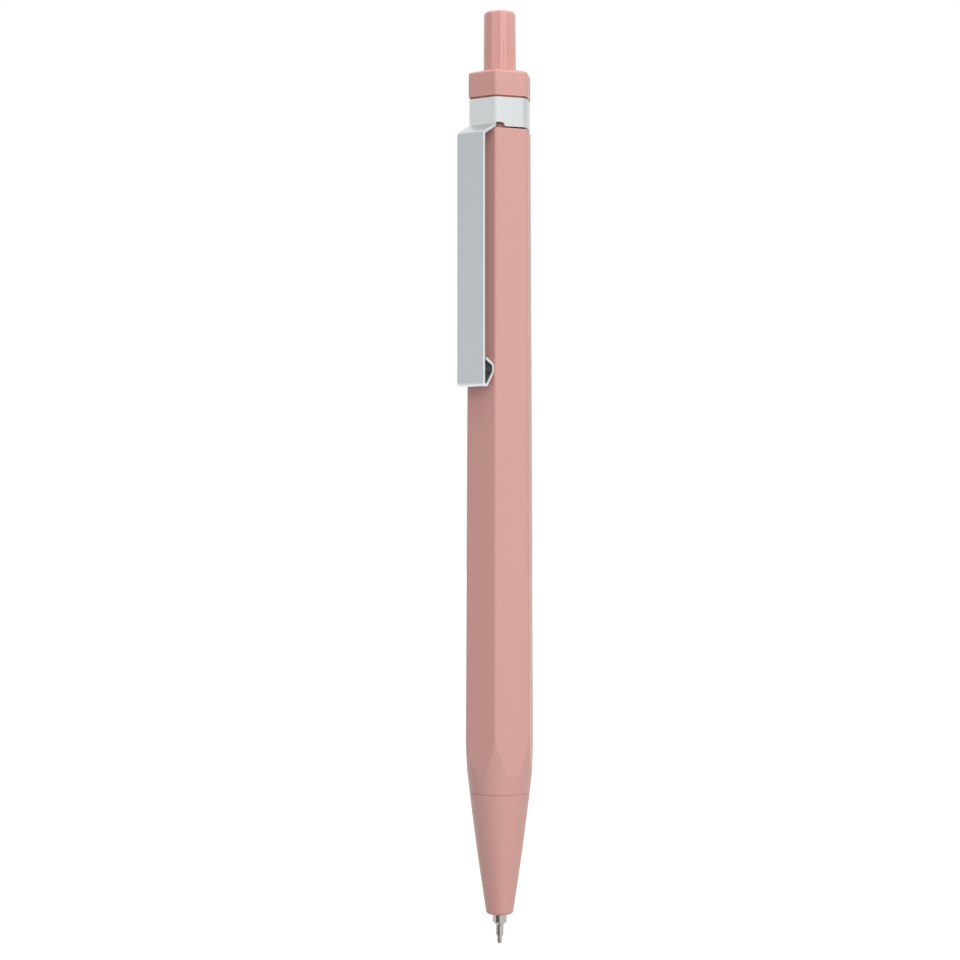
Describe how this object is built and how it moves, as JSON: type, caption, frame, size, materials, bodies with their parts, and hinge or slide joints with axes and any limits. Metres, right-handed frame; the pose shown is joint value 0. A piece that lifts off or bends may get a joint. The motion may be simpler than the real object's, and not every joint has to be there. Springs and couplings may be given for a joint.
{
  "type": "ball pen",
  "caption": "Click ball pen with a drafted hexagonal barrel, round nose cone, sheet-metal clip with a hexagonal band, collar and faceted push button, with click cams, spring and refill.",
  "frame": {"origin": "The lowest point of the writing ball, with the point out in the writing position", "axes": "+Z runs along the pen from the point to the push button, -Y is the way the clip faces, and +X completes the frame across two corners of the barrel"},
  "size_m": [0.011, 0.0123, 0.142],
  "materials": {
    "barrel_plastic": "satin moulded pink plastic",
    "nose_plastic": "satin moulded pink plastic",
    "collar_plastic": "satin moulded pink plastic",
    "button_plastic": "semi-gloss moulded pink plastic",
    "clip_steel": "satin plated sheet steel with bright cut edges",
    "cam_plastic": "natural acetal",
    "spring_steel": "drawn spring wire",
    "tube_plastic": "translucent extruded tube",
    "holder_plastic": "natural moulded plastic",
    "point_metal": "turned nickel silver",
    "ball_metal": "polished carbide",
    "ink": "blue ink",
    "follower_grease": "clear grease",
    "plug_plastic": "blue moulded plastic"
  },
  "bodies": {
    "case": {"barrel": "barrel_plastic", "nose_cone": "nose_plastic", "clip": "clip_steel", "top_collar": "collar_plastic", "guide_sleeve": "cam_plastic", "return_spring": "spring_steel"},
    "button": {"push_button": "button_plastic", "thrust_cam": "cam_plastic"},
    "refill": {"refill_tube": "tube_plastic", "tip_holder": "holder_plastic", "point_housing": "point_metal", "ink_column": "ink", "ink_follower": "follower_grease", "tail_plug": "plug_plastic", "rotor_cam": "cam_plastic", "writing_ball": "ball_metal"}
  },
  "joints": [
    {"name": "button_slide", "type": "slide", "parent": "case", "child": "button", "axis": [0, 0, 1], "range_m": [-0.0012, 0.0053], "stiffness_N_per_m": 120},
    {"name": "refill_slide", "type": "slide", "parent": "case", "child": "refill", "axis": [0, 0, 1], "range_m": [-0.0012, 0.0053], "deforming": ["return_spring"]}
  ],
  "couplings": [
    {"joint": "refill_slide", "follows": "button_slide", "ratio": 1}
  ]
}
